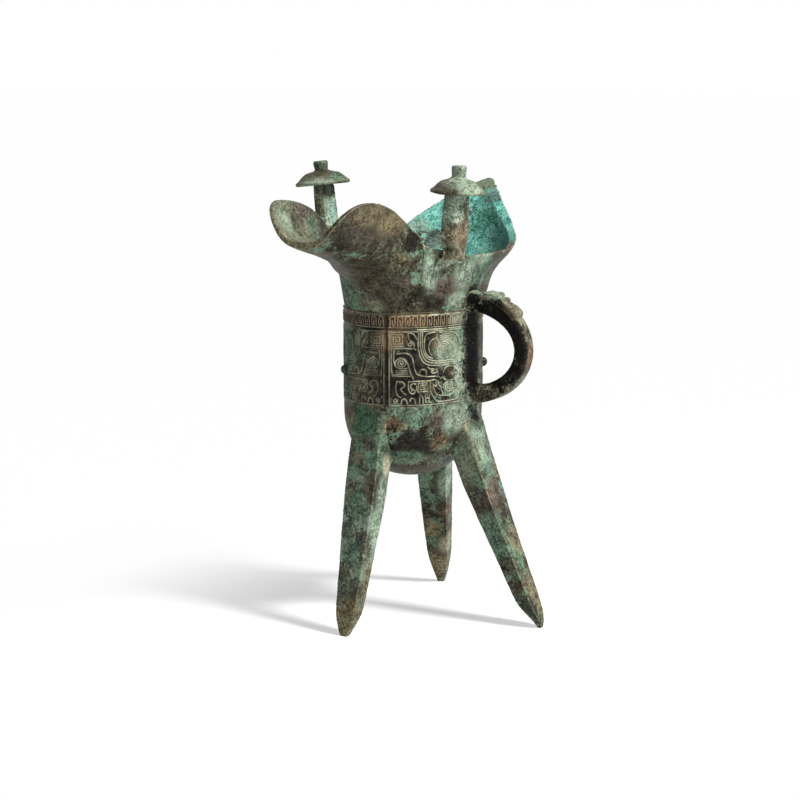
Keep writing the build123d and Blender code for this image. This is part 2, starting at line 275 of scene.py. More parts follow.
def patina(name, ground, bloom, share, patches, ornament=None):
    """Corroded bronze: a ground metal, a bloom over a share of it, noise-edged stains, pits and pale specks.

    Sunk ornament also gives the colours of its lines, its hooks and its grooves, whose dark is painted shade
    with dirt."""
    material = bpy.data.materials.new(name)
    material.use_nodes = True
    tree = material.node_tree
    tree.nodes.clear()
    shade = Shade(tree)

    def cloud(vector, scale, detail, roughness):
        """Noise, with its scale in waves to the metre."""
        sockets = {"Vector": vector, "Scale": scale, "Detail": detail, "Roughness": roughness}
        return shade.make("TexNoise", {}, sockets)

    def painted(attribute):
        """What the mesh says of each spot."""
        return shade.make("Attribute", {"attribute_name": attribute}, {}, "Fac")

    place = shade.make("TexCoord", {}, {}, "Object")
    drift = shade.make("TexNoise", {}, {"Vector": place, "Scale": 130.0, "Detail": 4.0}, "Color")
    drift_reach = (0.004,) * 3
    bent = shade.make("VectorMath", {"operation": "MULTIPLY_ADD"}, {0: drift, 1: drift_reach, 2: place})
    broad = cloud(place, 48.0, 4.0, 0.6)
    blotch = cloud(bent, 190.0, 8.0, 0.66)
    grain = cloud(bent, 900.0, 6.0, 0.72)
    pitted = cloud(bent, 430.0, 4.0, 0.6)
    pits = pitted.step(0.55, 0.7)
    # Frays the edges of the stains, and picks between the darker and the lighter colour of a finish
    ragged = blotch * 2.0 + grain * 1.9 - 1.95
    tone = (blotch * 0.33 + pitted * 0.17 + grain * 0.5).step(0.42, 0.58)

    dark, light, ground_crust = finishes[ground]
    bloom_dark, bloom_light, bloom_crust = finishes[bloom]
    grown = (broad * 0.35 + blotch * 0.4 + grain * 0.25 + (share - 0.5) * 0.3).step(0.46, 0.55)
    colour = grown.blend(tone.blend(dark, light), tone.blend(bloom_dark, bloom_light))
    crust = ground_crust + grown * (bloom_crust - ground_crust)
    for finish, strength, middle, reach in patches:
        dark, light, stain_crust = finishes[finish]
        inverse = tuple(1000 / r for r in reach)
        start = tuple(-m / r for m, r in zip(middle, reach))
        local = shade.make("VectorMath", {"operation": "MULTIPLY_ADD"}, {0: place, 1: inverse, 2: start})
        away = shade.make("VectorMath", {"operation": "LENGTH"}, {0: local}, "Value")
        mask = (away + ragged).step(1.3, 0.85) * strength
        colour = mask.blend(colour, tone.blend(dark, light))
        crust = crust + mask * (stain_crust - crust)

    # Dark pits and pale specks all over; edges are lighter, rubbed by handling and partly a painted
    # highlight, and dirt stays in the hollows
    colour = (pits * pit_cover).blend(colour, pit_dirt)
    specks = pitted.step(0.4, 0.28) * grain.step(0.5, 0.62)
    colour = (specks * speck_cover).blend(colour, pale_speck)
    worn = painted("worn")
    colour = (worn.step(rubbed_and_lit_little, rubbed_and_lit_full) * (0.3 + tone * 0.5)).blend(colour, rubbed_metal_and_highlight)
    colour = (worn.step(hollow_little, hollow_full) * hollow_cover).blend(colour, hollow_dirt)
    if ornament:
        line_fill, hook_metal, groove_shade_and_dirt = ornament
        colour = (painted("filled") * (0.3 + blotch.step(0.38, 0.58) * 0.6)).blend(colour, line_fill)
        colour = (painted("hooked") * (0.5 + grain.step(0.4, 0.6) * 0.45)).blend(colour, hook_metal)
        # The grooves are darkened: painted shade in the recesses, with dirt
        colour = (painted("sunk") * 0.8).blend(colour, groove_shade_and_dirt)

    height = blotch * 0.5 + grain * 0.35 + crust * 0.3 - pits * 0.25
    bump = shade.make("Bump", {}, {"Strength": 0.4, "Distance": 0.0003, "Height": height})
    surface = shade.make(
        "BsdfPrincipled",
        {},
        {
            "Base Color": colour,
            "Roughness": bare_roughness + crust * crust_roughness,
            "Metallic": (1 - crust).step(0.5, 1.0) * bare_metallic,
            "Specular IOR Level": 0.06,
            "Normal": bump,
        },
    )
    shade.make("OutputMaterial", {}, {"Surface": surface})
    return material


stains += [
    # Spout, outside
    ("umber", 0.9, (-62, -8, 181), (36, 11, 14)),
    ("gold brown", 0.8, (-66, -9, 187), (12, 6, 5)),
    ("gold brown", 0.8, (-48, -10, 182), (10, 6, 5)),
    ("gold brown", 0.6, (-37, -6, 165), (7, 6, 4)),
    ("black", 0.75, (-31, -11, 173), (6, 6, 5)),
    ("black", 0.6, (-77, -4, 178), (7, 6, 6)),
    ("umber", 0.9, (-44, 2, 161), (16, 12, 9)),
    ("umber", 0.85, (-58, 30, 178), (30, 5, 12)),
    # Spout, inside
    ("grey green", 0.85, (-72, 25, 184), (24, 8, 13)),
    ("pale green", 0.6, (-75, 26, 183), (5, 5, 6)),
    ("umber", 0.75, (-62, 26, 182), (5, 5, 6)),
    ("green", 0.75, (-49, 28, 182), (5, 5, 5)),
    ("plum", 0.75, (-53, 29, 187), (7, 5, 4)),
    ("gold brown", 0.8, (-88, 14, 177), (7, 15, 4)),
    # Neck
    ("umber", 0.9, (-29, 2, 150), (14, 14, 9)),
    ("plum", 0.75, (-28, -5, 156), (5, 5, 3)),
    ("black", 0.8, (-17, -11, 149), (12, 8, 4.5)),
    ("plum", 0.8, (-8, -17, 152), (10, 7, 4.5)),
    # Pale green that is partly a painted highlight down the ridge
    ("pale green", 0.75, (-17, -13, 160), (4, 5, 9)),
    ("grey green", 0.75, (-14, -16, 165), (5, 5, 4)),
    ("pale green", 0.6, (0, -21, 157), (7, 6, 7)),
    ("green", 0.85, (12, -23, 157), (8, 6, 8)),
    ("pale green", 0.55, (-1, -18, 146), (6, 5, 4)),
    ("pale green", 0.6, (10, -25, 165), (7, 5, 4)),
    ("green", 0.85, (-26, 25, 150), (7, 8, 12)),
    ("grey green", 0.75, (-27, 12, 144), (6, 7, 4)),
    ("umber", 0.85, (-8, 42, 155), (18, 9, 11)),
    ("green", 0.8, (24, 41, 159), (12, 9, 9)),
    ("umber", 0.75, (54, 14, 158), (13, 16, 8)),
    # Tail, inside
    ("turquoise", 0.97, (60, 12, 176), (29, 36, 18)),
    ("emerald", 0.55, (63, 1, 177), (7, 7, 6)),
    ("pale green", 0.65, (54, 31, 172), (6, 6, 5)),
    ("plum", 0.75, (55, 23, 167), (7, 7, 5)),
    ("plum", 0.6, (72, 0, 186), (4, 5, 4)),
    ("plum", 0.6, (67, 15, 181), (4, 6, 4)),
    ("plum", 0.8, (42, -20, 165), (7, 5, 3)),
    ("grey green", 0.75, (80, 9, 192), (5, 5, 4)),
    # Bowl
    ("emerald", 0.6, (-26, 17, 94), (6, 8, 7)),
    ("rust", 0.45, (-22, 24, 93), (5, 5, 4)),
    ("rust", 0.4, (-24, 1, 92), (5, 7, 4)),
    ("rust", 0.35, (-19, -8, 96), (4, 5, 2.5)),
    ("green", 0.85, (-20, -7, 98), (7, 8, 6)),
    ("plum", 0.6, (-11, -14, 94), (5, 6, 5)),
    ("black", 0.9, (-18, -5, 84), (9, 10, 7)),
    ("rust", 0.4, (-8, -13, 83), (5, 5, 4)),
    ("pale green", 0.55, (-3, -17, 93), (6, 6, 7)),
    ("green", 0.85, (-16, 0, 76), (8, 8, 4)),
    ("grey green", 0.75, (-8, -6, 73), (8, 8, 3.5)),
    ("umber", 0.85, (-4, 0, 69), (12, 12, 4)),
    ("pale green", 0.5, (10, -20, 96), (8, 5, 7)),
    # Painted shadow: the handle's shadow on the wall under it, painted near black
    ("painted shade", 1.0, (9.5, -19.5, 122), (7, 6, 27)),
    ("rust", 0.7, (26, 34, 92), (8, 8, 6)),
    ("black", 0.7, (2, 39, 92), (10, 8, 7)),
    ("plum", 0.75, (38, 20, 88), (8, 8, 8)),
]
body = cast_skin("vessel_body", vessel_form, voxel=0.45, rounds=3, lumps=0.14, grain=0.03, most=192000)
body.data.materials.append(patina("body_patina", "umber", "green", 0.38, stains_near("vessel_body")))

# Ornament round the cup: two beast masks, split down the middle, under a narrow band of hooks. The lines were
# cut in the mould, so they are sunk in the casting, and pale corrosion has filled them.


corner_cuts = 2


def eased(line):
    """The same line with its corners cut, so that it turns smoothly."""
    for _ in range(corner_cuts):
        cut = [line[0]]
        for (ax, ay), (bx, by) in zip(line, line[1:]):
            cut.append((0.75 * ax + 0.25 * bx, 0.75 * ay + 0.25 * by))
            cut.append((0.25 * ax + 0.75 * bx, 0.25 * ay + 0.75 * by))
        line = cut + [line[-1]]
    return line


# Points in one turn of a spiral
curl_points = 16


def curl(x, y, wide, tall, turns, start):
    """A spiral that unwinds from its middle; a negative number of turns winds it the other way."""
    count = int(curl_points * abs(turns))
    points = []
    for i in range(1, count + 1):
        angle = math.radians(start) + 2 * math.pi * turns * i / count
        points.append((x + wide * i / count * math.cos(angle), y + tall * i / count * math.sin(angle)))
    return points


# Half a mask, in millimetres along the wall from the mask's middle and up from its lower border
mask_lines = [
    # Borders
    [(0.9, 32.9), (60, 32.9)],
    [(13.6, 33.7), (60, 33.7)],
    [(1.0, 0.5), (60, 0.5)],
    [(1.0, -0.3), (60, -0.3)],
    [(1.2, 32.6), (1.2, 1.0)],
    # Square fret and hooked curl over the snout
    [(9.4, 32.4), (9.5, 30.8), (9.9, 29.4), (11.2, 28.6), (12.2, 27.2), (11.9, 25.4), (13.0, 25.0)],
    [(8.8, 29.0), (9.4, 27.0), (10.7, 26.6), (11.3, 27.7), (10.4, 28.4), (9.9, 27.8)],
    [(10.0, 32.4), (11.4, 32.2), (12.6, 31.0), (13.2, 29.6)],
    [(2.4, 25.6), (8.0, 25.7), (11.4, 25.5)],
    # Snout: a bent body with an inner line, an oval curl and three bars
    [(2.2, 25.4), (2.0, 20.0), (2.2, 16.5), (2.6, 13.4)],
    [(3.3, 24.8), (3.1, 20.4), (3.7, 18.0), (5.2, 16.9), (8.8, 16.9)],
    curl(6.4, 19.2, 2.7, 2.3, 2.4, 60),
    [(5.6, 21.6), (7.6, 21.2), (9.0, 19.6), (9.9, 17.0), (10.4, 14.8), (11.7, 12.3)],
    [(4.4, 23.3), (7.5, 23.6), (9.8, 23.4), (11.3, 21.6), (11.8, 19.0), (12.4, 16.0), (13.4, 14.1),
     (15.0, 13.5), (18.4, 12.9), (23.0, 13.0), (25.0, 11.7)],
    [(4.2, 16.0), (9.2, 16.0)],
    [(4.2, 15.2), (9.2, 15.2)],
    [(4.2, 14.4), (9.2, 14.4)],
    [(3.0, 14.2), (3.6, 13.5), (10.4, 13.4)],
    # Crest in front of the eye
    [(14.4, 14.0), (14.8, 15.8), (16.2, 16.4), (17.5, 15.8), (17.8, 14.1)],
    [(18.4, 17.1), (19.4, 16.2), (22.6, 16.1), (22.7, 14.5), (20.2, 14.4), (20.0, 15.4), (21.2, 15.5)],
    [(22.8, 16.2), (23.2, 14.6), (23.5, 13.2)],
    # Horn: lines round a dark hook and a fine spiral
    [(14.1, 32.6), (13.8, 28.0), (14.0, 24.6), (15.0, 21.0), (17.2, 18.3), (22.5, 17.5), (34.0, 17.9)],
    [(15.0, 32.6), (14.8, 28.0), (15.0, 25.0), (16.2, 21.2), (18.4, 19.2), (24.0, 18.5), (33.0, 18.8)],
    [(15.9, 32.4), (15.7, 28.0), (15.9, 25.0), (17.1, 21.8), (19.4, 20.1), (24.0, 19.4), (32.0, 19.7)],
    [(22.0, 32.4), (19.5, 32.3), (17.4, 31.4), (16.7, 29.5), (16.7, 24.8), (18.0, 22.0), (20.6, 20.9)],
    [(23.0, 32.2), (22.7, 30.0), (22.2, 29.4), (20.6, 29.3), (19.1, 27.8), (18.7, 25.6), (19.2, 23.4),
     (20.3, 22.3)],
    [(22.8, 30.2), (23.4, 28.4), (24.2, 27.6)],
    curl(26.6, 24.2, 4.4, 4.0, 3.6, 250),
    [(24.6, 30.4), (27.4, 31.6), (31.0, 31.2), (33.6, 29.0), (34.4, 25.6), (33.4, 22.4), (31.0, 20.8)],
    [(25.0, 29.6), (27.6, 30.7), (30.6, 30.3), (32.7, 28.5), (33.4, 25.6), (32.6, 23.0)],
    [(25.6, 28.8), (27.8, 29.8), (30.2, 29.4), (31.9, 27.9), (32.4, 25.6)],
    [(26.6, 28.2), (28.4, 28.8), (30.0, 28.4), (31.0, 27.2)],
    [(24.0, 32.2), (31.0, 32.2), (35.2, 30.2), (36.6, 26.0), (36.4, 19.0)],
    # Eye socket round the boss
    [(26.2, 14.6), (27.6, 16.6), (30.4, 17.0), (33.4, 16.2), (35.6, 14.2)],
    [(25.6, 12.4), (27.4, 10.9), (30.2, 10.5), (33.2, 11.0), (35.6, 12.6)],
    # Jaw and claws along the lower border
    [(4.6, 11.3), (4.0, 9.4), (4.1, 6.6), (5.0, 4.6), (6.2, 4.2)],
    [(5.2, 11.1), (7.0, 11.0), (8.1, 9.8), (7.4, 8.4), (6.2, 8.1), (6.6, 6.8), (8.4, 5.3)],
    [(9.6, 11.0), (14.0, 11.1), (19.2, 11.2)],
    [(13.0, 9.9), (11.4, 10.3), (10.5, 9.4), (10.6, 8.2), (11.4, 7.8)],
    [(9.6, 10.6), (9.5, 7.4), (10.4, 5.9), (12.2, 5.6), (12.6, 7.0), (11.4, 7.6), (10.9, 6.9)],
    [(13.2, 9.0), (13.2, 6.8), (15.2, 5.2), (16.2, 3.4), (16.3, 1.2)],
    [(17.2, 5.4), (17.4, 1.6)],
    [(19.2, 5.4), (19.0, 1.6)],
    [(17.3, 3.6), (19.1, 3.6)],
    [(18.2, 5.4), (18.2, 4.4)],
    [(19.8, 11.2), (19.4, 8.0), (20.4, 4.6), (22.4, 2.1), (24.0, 1.5), (34.0, 1.6), (35.6, 3.2), (35.4, 8.4),
     (33.8, 9.8)],
    [(21.3, 9.2), (21.3, 7.0), (22.5, 5.0), (24.2, 4.1), (30.0, 3.9), (32.4, 5.0), (33.0, 6.6)],
    [(19.8, 11.2), (22.0, 11.6), (23.8, 10.2), (23.8, 8.8), (25.5, 7.7)],
    [(22.2, 10.4), (22.9, 9.2), (22.4, 8.4), (21.6, 8.9)],
    [(25.2, 6.8), (26.2, 4.2)],
    curl(29.2, 7.6, 3.0, 2.6, 2.4, 20),
    curl(4.2, 2.6, 1.3, 1.2, 1.5, 90),
    [(6.4, 1.2), (6.6, 3.0), (8.2, 3.8), (9.2, 1.2)],
    [(10.3, 2.4), (10.4, 3.4), (11.4, 3.8), (12.4, 3.2), (12.7, 1.2)],
    [(14.6, 4.4), (14.5, 1.2)],
    # Body behind the horn: upright frets
    [(37.6, 32.0), (37.6, 2.0)],
    curl(40.8, 28.0, 2.4, 3.4, 2.5, 0),
    curl(40.8, 20.6, 2.4, 3.2, -2.5, 0),
    curl(40.8, 13.2, 2.4, 3.2, 2.5, 0),
    curl(40.8, 5.8, 2.4, 3.4, -2.5, 0),
    [(44.2, 32.0), (44.2, 2.0)],
    curl(47.4, 26.0, 2.4, 4.4, 2.5, 180),
    curl(47.4, 16.6, 2.4, 4.2, -2.5, 180),
    curl(47.4, 7.2, 2.4, 4.4, 2.5, 180),
]
# Squared frets keep their corners
fret_lines = [
    [(7.4, 26.6), (1.9, 26.6), (1.9, 31.8), (7.0, 31.8), (7.0, 27.7), (3.0, 27.7), (3.0, 30.7), (5.8, 30.7),
     (5.8, 28.8), (4.2, 28.8), (4.2, 29.8)],
    [(18.1, 10.3), (14.0, 10.3), (14.0, 6.5), (18.1, 6.5), (18.1, 9.4), (15.0, 9.4), (15.0, 7.5), (17.1, 7.5),
     (17.1, 8.5), (16.0, 8.5)],
]
# One hook of the narrow band: an upright whose end turns down and in again
hook_line = [
    (0.3, 35.2), (0.3, 39.0), (0.7, 39.5), (2.1, 39.5), (2.4, 39.0), (2.4, 36.0), (2.0, 35.4), (1.4, 35.6),
    (1.3, 37.7),
]
hook_count, hook_start, hook_pitch = 17, 1.2, 3.3
hooks_drawn = []
for i in range(hook_count):
    hooks_drawn.append(eased([(x + hook_start + i * hook_pitch, y) for x, y in hook_line]))
mask_drawn = [eased(line) for line in mask_lines] + fret_lines
for band_line in (34.6, 40.0):
    mask_drawn.append([(0.9, band_line), (60, band_line)])


def nearness(drawn, along, up, half_width):
    """How deep in a drawn line each point lies: 1 in its middle, 0 beside it."""
    reach, far_off = 0.7, 9.0
    outer, soft = 1.9 * half_width, 1.4 * half_width
    away = np.full(len(along), far_off)
    for line in drawn:
        for (ax, ay), (bx, by) in zip(line, line[1:]):
            near = (along > min(ax, bx) - reach) & (along < max(ax, bx) + reach)
            near &= (up > min(ay, by) - reach) & (up < max(ay, by) + reach)
            if not near.any():
                continue
            run = max((bx - ax) ** 2 + (by - ay) ** 2, 1e-9)
            share = np.clip(((along[near] - ax) * (bx - ax) + (up[near] - ay) * (by - ay)) / run, 0, 1)
            gap = np.hypot(along[near] - ax - share * (bx - ax), up[near] - ay - share * (by - ay))
            away[near] = np.minimum(away[near], gap)
    rise = np.clip((outer - away) / soft, 0, 1)
    return rise * rise * (3 - 2 * rise)


# Round bosses are the masks' eyes: where they stand round the cup, in degrees, how far up, and how large
eye_turns = (-116, -220, -52, 52)
eye_up, eye_radius = 13.7, 2.2
# A panel's height on the vessel, its lower and upper edge from there, and its grid, in millimetres
panel_foot, panel_low, panel_high, panel_cell = 100.3, -0.5, 41.4, 0.23
# Half the widths of the lines, the hooks, the seam down a mask's middle and the grooves along the hooks
line_half, hook_half, seam_half, groove_half = 0.18, 0.17, 0.18, 0.12
groove_soft = 0.35
# How far up the two grooves and the moulding over them lie
lower_groove, upper_groove, moulding_up = 34.05, 40.4, 40.95
# How far a panel stands off the cup, how far its parts sink, and how far they rise
panel_proud = 0.22
line_depth, groove_depth, border_depth = 0.3, 0.42, 0.9
hook_rise, moulding_rise = 0.2, 0.3
# The width over which a border or the moulding slopes
edge_soft = 0.5
# Round the handle the lines fade in painted shade: its place, how far and over what way, in degrees, and the
# share left
handle_turn, handle_shade_half, handle_shade_fade, handle_shade_share = -90, 6, 8, 0.05
# How far along a mask its fainter body begins
mask_body = 37
# The unevenness of the cast ornament: the lumps and the grain, and how broad they are
panel_lumps, panel_lump_size, panel_grain, panel_grain_size = 0.12, 5, 0.05, 0.9


def trench(centre, half, across):
    """A groove with soft edges: 1 in its middle, 0 beside it."""
    return np.clip((half + groove_soft - np.abs(across - centre)) / groove_soft, 0, 1)


def ornament_panel(name, middle, end, shown):
    """Half a mask and its hooks, wrapped on the cup from the mask's middle to the panel's end, in degrees.

    A share of the filling shows in the lines, and less behind the handle, where they fade in its painted
    shade."""
    turns = np.radians(np.linspace(middle, end, 400))
    speed = np.hypot(cup_long * np.sin(turns), cup_wide * np.cos(turns))
    lengths = np.concatenate([[0], np.cumsum((speed[1:] + speed[:-1]) / 2 * abs(turns[1] - turns[0]))])
    by_turn = (turns, lengths) if end > middle else (turns[::-1], lengths[::-1])
    tall = panel_high - panel_low
    columns, rows = int(lengths[-1] / panel_cell), int(tall / panel_cell)
    bm = bmesh.new()
    bmesh.ops.create_grid(bm, x_segments=columns, y_segments=rows, size=0.5)
    if end < middle:
        bmesh.ops.reverse_faces(bm, faces=bm.faces)
    along = np.array([(vert.co.x + 0.5) * lengths[-1] for vert in bm.verts])
    up = np.array([panel_low + (vert.co.y + 0.5) * tall for vert in bm.verts])
    turn = np.interp(along, lengths, turns)

    # Painted shade: the lines fade out behind the handle, where its shadow falls
    from_handle = np.abs(np.degrees(turn) - handle_turn)
    outside_handle_shade = np.clip((from_handle - handle_shade_half) / handle_shade_fade, handle_shade_share, 1)
    fainter = np.where(along > mask_body, 0.5, 1)
    filled = nearness(mask_drawn, along, up, line_half) * fainter * outside_handle_shade * shown
    hooked = nearness(hooks_drawn, along, up, hook_half) * outside_handle_shade * (0.3 + 0.7 * shown)
    grooves = [trench(height, groove_half, up) for height in (lower_groove, upper_groove)]
    sunk = np.maximum.reduce([trench(0, seam_half, along)] + grooves)
    moulding = np.clip(1 - np.abs(up - moulding_up) / edge_soft, 0, 1)
    boss = np.zeros(len(along))
    for eye in eye_turns:
        eye_along = np.interp(math.radians(eye), *by_turn, left=-99, right=-99)
        gap = np.hypot(eye_along - along, up - eye_up)
        filled[gap < 1.25 * eye_radius] = 0
        sunk = np.maximum(sunk, 0.6 * trench(1.1 * eye_radius, 0.05, gap))
        boss = np.maximum(boss, np.sqrt(np.clip(eye_radius**2 - gap**2, 0, None)))
    border = np.clip(np.minimum(up - panel_low, panel_high - up) / edge_soft, 0, 1)

    lift = panel_proud - line_depth * filled + hook_rise * hooked - groove_depth * sunk
    lift = lift + moulding_rise * moulding + boss - border_depth * (1 - border)
    for vert, angle, height, rise in zip(bm.verts, turn, up, lift):
        spot = Vector((cup_long * math.cos(angle), cup_wide * math.sin(angle), height + panel_foot))
        out = Vector((math.cos(angle) / cup_long, math.sin(angle) / cup_wide, 0)).normalized()
        rough = panel_lumps * noise.fractal(spot / panel_lump_size, 1.0, 2.0, 3)
        rough += panel_grain * noise.fractal(spot / panel_grain_size, 0.8, 2.0, 2)
        vert.co = (spot + out * (rise + rough)) / 1000 + Vector((cup_axis.x, cup_axis.y, 0))
    mesh = bpy.data.meshes.new(name)
    bm.to_mesh(mesh)
    bm.free()
    # Painted highlight, partly wear: the tops of the eye bosses and the moulding's ridge are made lighter
    worn = 0.25 * np.maximum(0.7 * moulding, np.clip(boss / eye_radius * 5 - 4, 0, 1))
    for key, values in (("filled", filled), ("hooked", hooked), ("sunk", sunk), ("worn", worn)):
        mesh.attributes.new(key, "FLOAT", "POINT").data.foreach_set("value", values.astype(np.float32))
    mesh.shade_smooth()
    panel = bpy.data.objects.new(name, mesh)
    bpy.context.scene.collection.objects.link(panel)
    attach(panel, "root")
    return panel


ornament_stains = [
    ("deep green", 0.9, (-22, 26, 120), (16, 18, 26)),
    ("green", 0.35, (-20, 30, 126), (9, 9, 9)),
    ("umber", 0.8, (-25, 15, 110), (8, 8, 9)),
    ("umber", 0.7, (-25, 12, 127), (6, 6, 8)),
    ("black", 0.9, (-19, -8, 117), (15, 14, 17)),
    ("black", 1.0, (10, 10, 137.5), (90, 80, 5.5)),
    ("rust", 0.75, (-25, 2, 130), (5, 6, 5)),
    ("rust", 0.4, (-22, -4, 138), (8, 10, 4)),
    ("gold brown", 0.6, (-16, -11, 108.5), (3, 3, 2.5)),
    ("rust", 0.4, (-12, -14, 127), (3, 4, 5)),
    ("green", 0.8, (1, -19, 127), (6, 6, 8)),
    ("pale green", 0.55, (-8, -16, 124), (6, 6, 7)),
    ("pale green", 0.7, (0, -19, 113), (6, 7, 12)),
    ("pale green", 0.5, (0, -19, 138), (7, 8, 4)),
    ("umber", 0.95, (-6.5, -18.5, 114), (3.6, 4, 3.4)),
    # Painted shadow: the handle's shadow on the ornament under it, painted near black
    ("painted shade", 1.0, (9.5, -19.5, 122), (7, 6, 27)),
    ("deep green", 0.8, (30, 34, 125), (16, 16, 20)),
    ("umber", 0.7, (40, 0, 115), (12, 14, 14)),
]
# The pale filling of the lines, the hooks' metal, and the grooves' dark of painted shade with dirt
line_fill, hook_metal, groove_shade_and_dirt = pigment(156, 155, 130), pigment(140, 124, 97), pigment(27, 24, 21)
ornament_patina = patina(
    "ornament_patina", "black", "green", 0.3, ornament_stains, (line_fill, hook_metal, groove_shade_and_dirt)
)
for name, middle, end, shown in (
    ("mask_front_handle_side", -168, -90, 1.0),
    ("mask_front_far_side", -168, -264, 0.6),
    ("mask_tail_handle_side", 0, -90, 0.8),
    ("mask_tail_far_side", 0, 96, 0.8),
):
    panel = ornament_panel(name, middle, end, shown)
    panel.data.materials.append(ornament_patina)

# Core spacers: small square chips of older bronze that held the core off the mould. The new metal ran round
# them, so they stayed in pockets in the cup's bottom wall, in a patina like the wall's.
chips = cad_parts["core_spacers"]
chips.data.materials.clear()
chips.data.materials.append(patina("chip_patina", "umber", "green", 0.4, []))

# Legs: three solid bronze blades, four-sided, widest on the outer face, and worn brown at the tips. They are
# cast on to the cup, and the casting fills the corner where a leg meets it.

# The cup as a round form: where its wall turns into the bowl, the bowl's depth, and the mean radius
bowl_top, bowl_depth, cup_radius = 95, 31, 30
# A fillet of cast metal: how far off the cup it begins, how far it spreads on the wall and sinks into it
fillet_reach, fillet_spread, fillet_sink = 4, 1.8, 0.5


def cast_on(spot, normal):
    """A soft fillet where a piece meets the cup: it spreads over the wall and sinks into it at its edge."""
    below = min(spot.z - bowl_top, 0) / bowl_depth
    x, y = (spot.x - cup_axis.x * 1000) / cup_long, (spot.y - cup_axis.y * 1000) / cup_wide
    gap = (math.sqrt(x * x + y * y + below * below) - 1) * cup_radius
    close = max(1 - max(gap, 0) / fillet_reach, 0)
    out = Vector((x / cup_long, y / cup_wide, below / bowl_depth)).normalized()
    along_wall = normal - out * normal.dot(out)
    return along_wall * fillet_spread * close**2 - out * fillet_sink * close**4


stains += [
    ("pale green", 0.45, (-36, 14, 48), (10, 10, 34)),
    ("green", 0.7, (-28, 14, 80), (9, 10, 12)),
    ("plum", 0.7, (-28, 12, 83), (3, 3, 3)),
    ("rust", 0.4, (-29, 17, 77), (3, 3, 3)),
    ("umber", 0.8, (-32, 9, 65), (4, 4, 8)),
    ("umber", 0.75, (-34, 19, 60), (4, 4, 6)),
    ("green", 0.8, (-34, 15, 56), (5, 5, 7)),
    ("black", 0.6, (-36, 18, 45), (4, 4, 6)),
    ("umber", 0.7, (-37, 10, 41), (4, 3.5, 6)),
    ("green", 0.8, (-38, 15, 36), (5, 5, 6)),
    ("umber", 0.8, (-40, 18, 27), (4, 4, 4)),
    ("umber", 0.7, (-42, 12, 20), (5, 5, 5)),
    ("gold brown", 0.8, (-45, 14, 7), (8, 9, 9)),
    ("bone", 0.8, (-23, 7, 73), (3, 3, 5)),
    ("pale green", 0.7, (-26, 7, 60), (4, 3, 8)),
    ("pale green", 0.85, (-30, 8, 46), (4, 3, 9)),
    ("gold brown", 0.8, (-35, 10, 22), (4, 4, 14)),
    ("green", 0.9, (44, 22, 48), (6, 6, 9)),
    ("umber", 0.8, (46, 18, 53), (3, 3, 6)),
    ("umber", 0.7, (48, 22, 38), (3, 3, 5)),
    ("gold brown", 0.7, (52, 23, 29), (4, 4, 5)),
    ("gold brown", 0.8, (62, 22, 8), (8, 8, 9)),
    ("pale green", 0.85, (49, 13, 55), (5, 4, 9)),
    ("rust", 0.4, (53, 16, 40), (3, 3, 4)),
    ("plum", 0.75, (60, 17, 33), (5, 5, 6)),
    ("bone", 0.7, (59, 18, 22), (4, 4, 5)),
    ("pale green", 0.5, (9, -23, 79), (8, 7, 11)),
    ("rust", 0.4, (16, -28, 67), (3, 4, 5)),
    ("plum", 0.85, (8, -32, 59), (6, 6, 8)),
    ("gold brown", 0.8, (12, -41, 38), (6, 6, 7)),
    ("gold brown", 0.8, (12, -50, 15), (6, 7, 12)),
    ("grey green", 0.8, (4, -21, 72), (3, 6, 10)),
    ("green", 0.8, (4, -33, 43), (3, 6, 9)),
    ("umber", 0.7, (5, -41, 28), (3, 5, 5)),
    ("black", 0.7, (5, -52, 10), (3, 5, 5)),
]


# A leg's lowest points, up to this height in metres, are its sole
sole_height = 0.0005


def leg_form(node, height, share):
    """One leg's form: its tip worn round up to a height, by a share of its width, and its root cast on."""
    sole = [vert.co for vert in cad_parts[node].data.vertices if vert.co.z < sole_height]
    tip = sum(sole, Vector()) / len(sole) * 1000

    def shape(spot, normal):
        near_tip = max(1 - spot.z / height, 0) ** 2
        to_tip = Vector((tip.x - spot.x, tip.y - spot.y, 0))
        return cast_on(spot, normal) + handle_side_root(spot, normal) + to_tip * share * near_tip

    return shape


# How high up each tip is worn, in millimetres, and what share of its width is gone at the sole
for node, height, share in (
    ("leg_handle_side", 12, 0.62),
    ("leg_spout_side", 11, 0.4),
    ("leg_tail_side", 22, 0.45),
):
    leg = cast_skin(node, leg_form(node, height, share), voxel=0.4, rounds=3, lumps=0.16, grain=0.04)
    leg.data.materials.append(patina(node + "_patina", "umber", "green", 0.48, stains_near(node)))

# Handle: a bronze loop strap for one finger, with both ends cast on to the cup's wall. Its outer face is
# greener than the flanks, which lie in shade; the near flank is painted black as painted shade.
stains += [
    ("grey green", 0.8, (10, -30, 148), (6, 9, 4)),
    # Pale green that is partly a painted highlight on the top of the strap's upper arm
    ("pale green", 0.65, (10, -25, 150), (8, 6, 3)),
    ("rust", 0.6, (12, -48, 121), (4, 4, 7)),
    ("grey green", 0.8, (11, -42, 107), (5, 9, 7)),
    ("umber", 0.8, (8, -28, 101), (6, 7, 5)),
    # Painted shade: the strap's near flank, painted near black
    ("painted shade", 1.0, (4.5, -36, 129), (3.6, 22, 23)),
]
handle_low, handle_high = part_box("handle")
strap_middle = (handle_low.x + handle_high.x) * 500
# Where the strap begins to be fuller and over what way, by what share of its width, and how far outwards
strap_from, strap_rise, strap_share, strap_out = 22, 6, 0.28, 0.5


